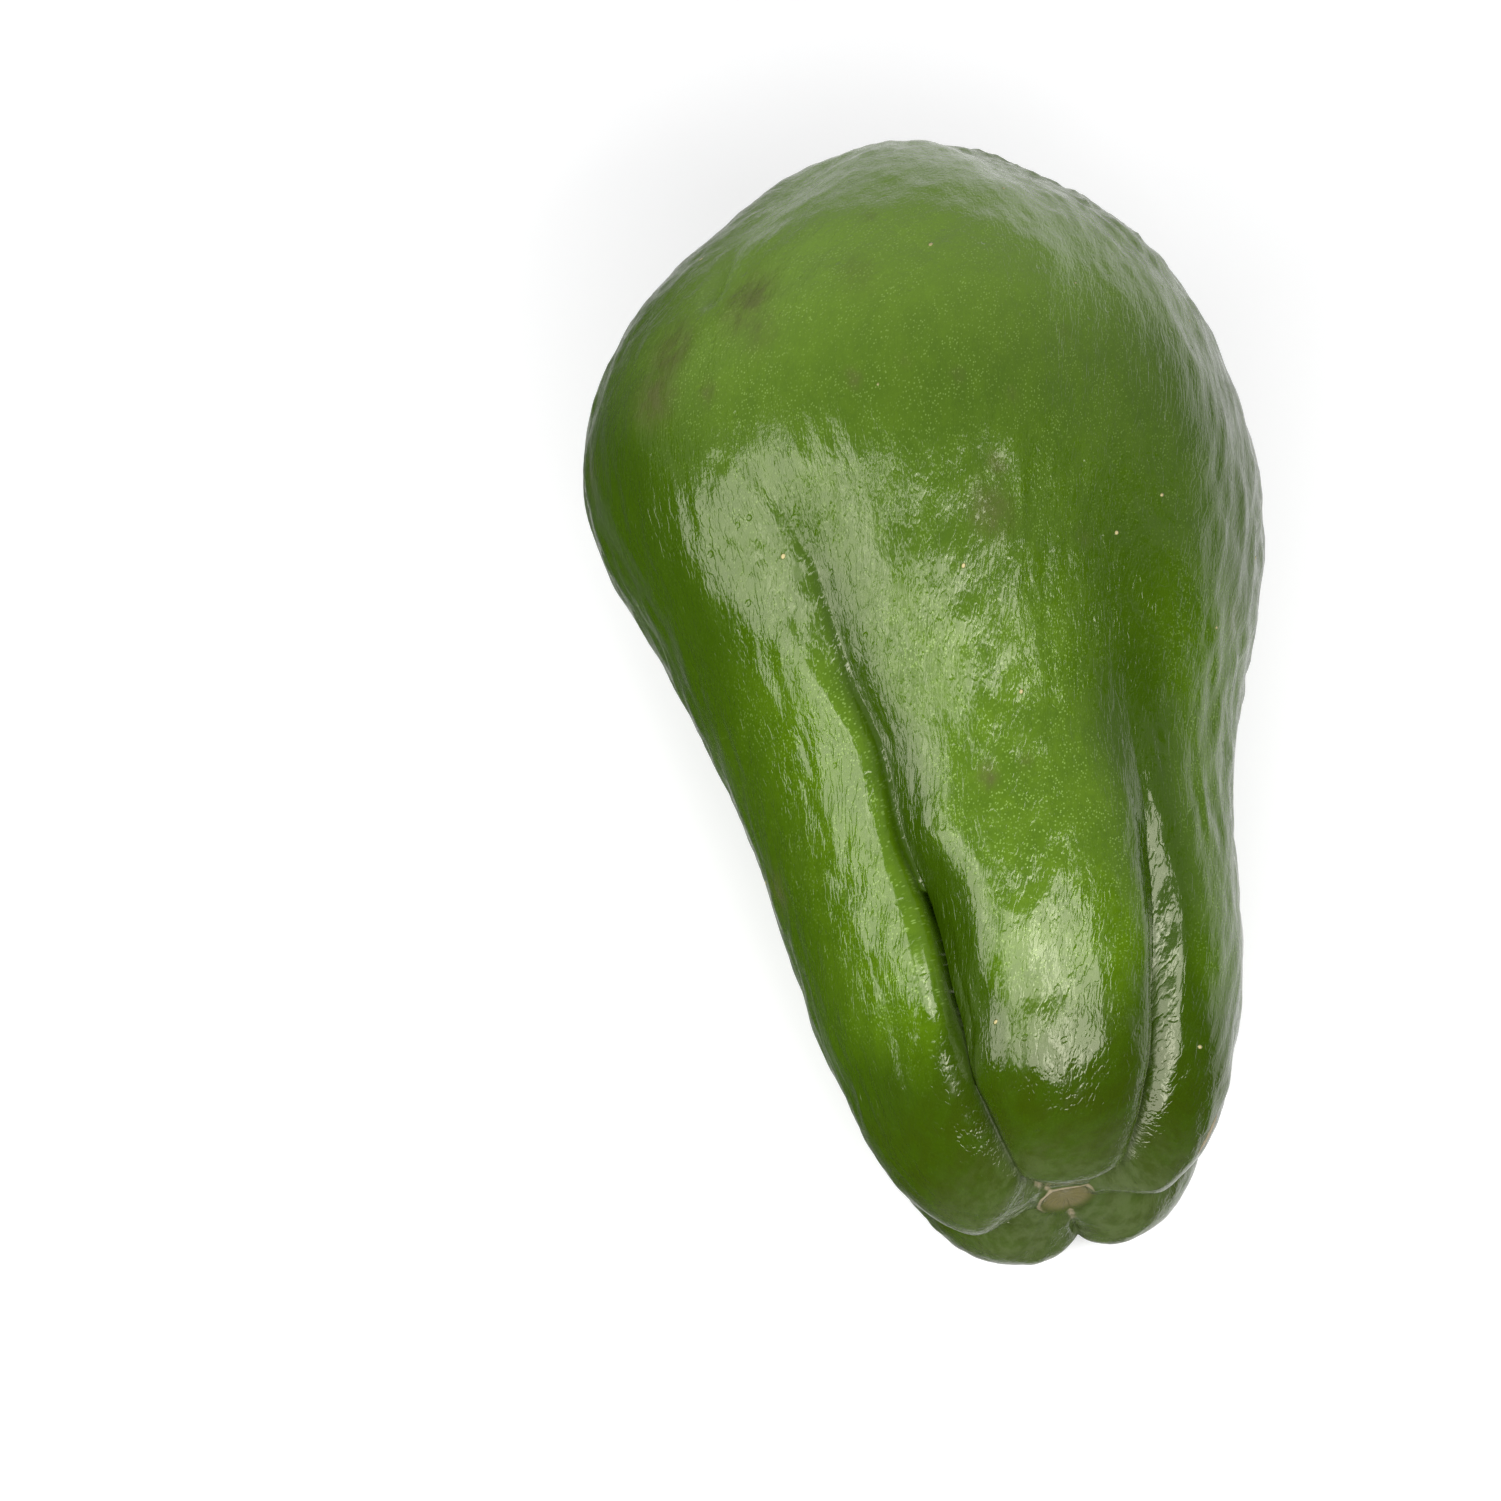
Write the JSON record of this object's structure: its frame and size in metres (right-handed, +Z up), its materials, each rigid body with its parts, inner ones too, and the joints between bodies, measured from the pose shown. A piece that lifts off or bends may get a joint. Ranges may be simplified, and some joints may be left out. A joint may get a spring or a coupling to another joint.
{
  "type": "chayote squash",
  "caption": "Whole pear-shaped green chayote squash lying on its side, with a lobed and furrowed stem end, a small round stem scar and a puckered broad end.",
  "frame": {"origin": "on the surface it rests on, under the middle of the fruit's box", "axes": "+Z up, +Y along the fruit from its stem end to its broad end, +X to the right as seen from the stem end"},
  "size_m": [0.088, 0.1462, 0.0871],
  "materials": {
    "green_skin": "waxy green fruit skin, half glossy, finely speckled and wrinkled"
  },
  "bodies": {
    "root": {"chayote": "green_skin"}
  },
  "joints": []
}
